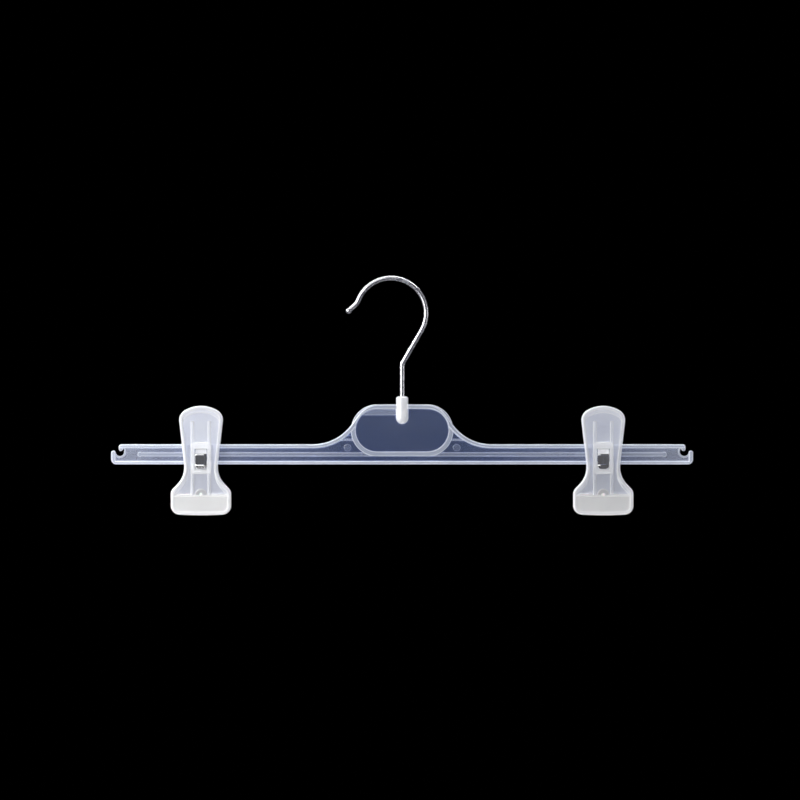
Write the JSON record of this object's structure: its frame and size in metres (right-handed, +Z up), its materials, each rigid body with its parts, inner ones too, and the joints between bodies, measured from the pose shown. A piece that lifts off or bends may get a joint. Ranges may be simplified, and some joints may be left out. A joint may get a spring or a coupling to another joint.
{
  "type": "skirt hanger",
  "caption": "Clear skirt hanger: ribbed bar with a flared label panel, swivelling wire hook, sliding spring clips with soft grip pads, and strap loops at the ends.",
  "frame": {"origin": "on the hook's stem axis, where the rail bears on the inside of the hook", "axes": "+X along the bar, -Y to the front, +Z up"},
  "size_m": [0.3802, 0.0258, 0.1566],
  "materials": {
    "frame_clear": "clear moulded",
    "hook_steel": "polished wire",
    "jaw_milky": "translucent moulded",
    "pad_soft": "soft matt",
    "spring_steel": "bright rolled strip"
  },
  "bodies": {
    "hook": {"hook": "hook_steel"},
    "frame": {"frame": "frame_clear"},
    "left_spring": {"left_spring": "spring_steel"},
    "left_front_jaw": {"left_front_jaw": "jaw_milky", "left_front_pad": "pad_soft"},
    "left_rear_jaw": {"left_rear_jaw": "jaw_milky", "left_rear_pad": "pad_soft"},
    "right_spring": {"right_spring": "spring_steel"},
    "right_front_jaw": {"right_front_jaw": "jaw_milky", "right_front_pad": "pad_soft"},
    "right_rear_jaw": {"right_rear_jaw": "jaw_milky", "right_rear_pad": "pad_soft"}
  },
  "joints": [
    {"name": "hook_swivel", "type": "hinge", "parent": "hook", "child": "frame", "pos_m": [0, 0, -0.0746], "axis": [0, 0, 1], "continuous": true},
    {"name": "left_clip_slide", "type": "slide", "parent": "frame", "child": "left_spring", "axis": [1, 0, 0], "range_m": [-0.028, 0.063]},
    {"name": "left_front_jaw_pivot", "type": "hinge", "parent": "left_spring", "child": "left_front_jaw", "pos_m": [-0.1314, -0.0028, -0.10585], "axis": [-1, 0, 0], "range_deg": [0, 12], "stiffness_Nm_per_rad": 0.4, "springref_deg": -28.65, "deforming": ["left_spring"]},
    {"name": "left_rear_jaw_pivot", "type": "hinge", "parent": "left_spring", "child": "left_rear_jaw", "pos_m": [-0.1314, 0.0028, -0.10585], "axis": [1, 0, 0], "range_deg": [0, 12], "stiffness_Nm_per_rad": 0.4, "springref_deg": -28.65},
    {"name": "right_clip_slide", "type": "slide", "parent": "frame", "child": "right_spring", "axis": [1, 0, 0], "range_m": [-0.063, 0.028]},
    {"name": "right_front_jaw_pivot", "type": "hinge", "parent": "right_spring", "child": "right_front_jaw", "pos_m": [0.1314, -0.0028, -0.10585], "axis": [-1, 0, 0], "range_deg": [0, 12], "stiffness_Nm_per_rad": 0.4, "springref_deg": -28.65, "deforming": ["right_spring"]},
    {"name": "right_rear_jaw_pivot", "type": "hinge", "parent": "right_spring", "child": "right_rear_jaw", "pos_m": [0.1314, 0.0028, -0.10585], "axis": [1, 0, 0], "range_deg": [0, 12], "stiffness_Nm_per_rad": 0.4, "springref_deg": -28.65}
  ],
  "couplings": [
    {"joint": "left_rear_jaw_pivot", "follows": "left_front_jaw_pivot", "ratio": 1},
    {"joint": "right_rear_jaw_pivot", "follows": "right_front_jaw_pivot", "ratio": 1}
  ]
}
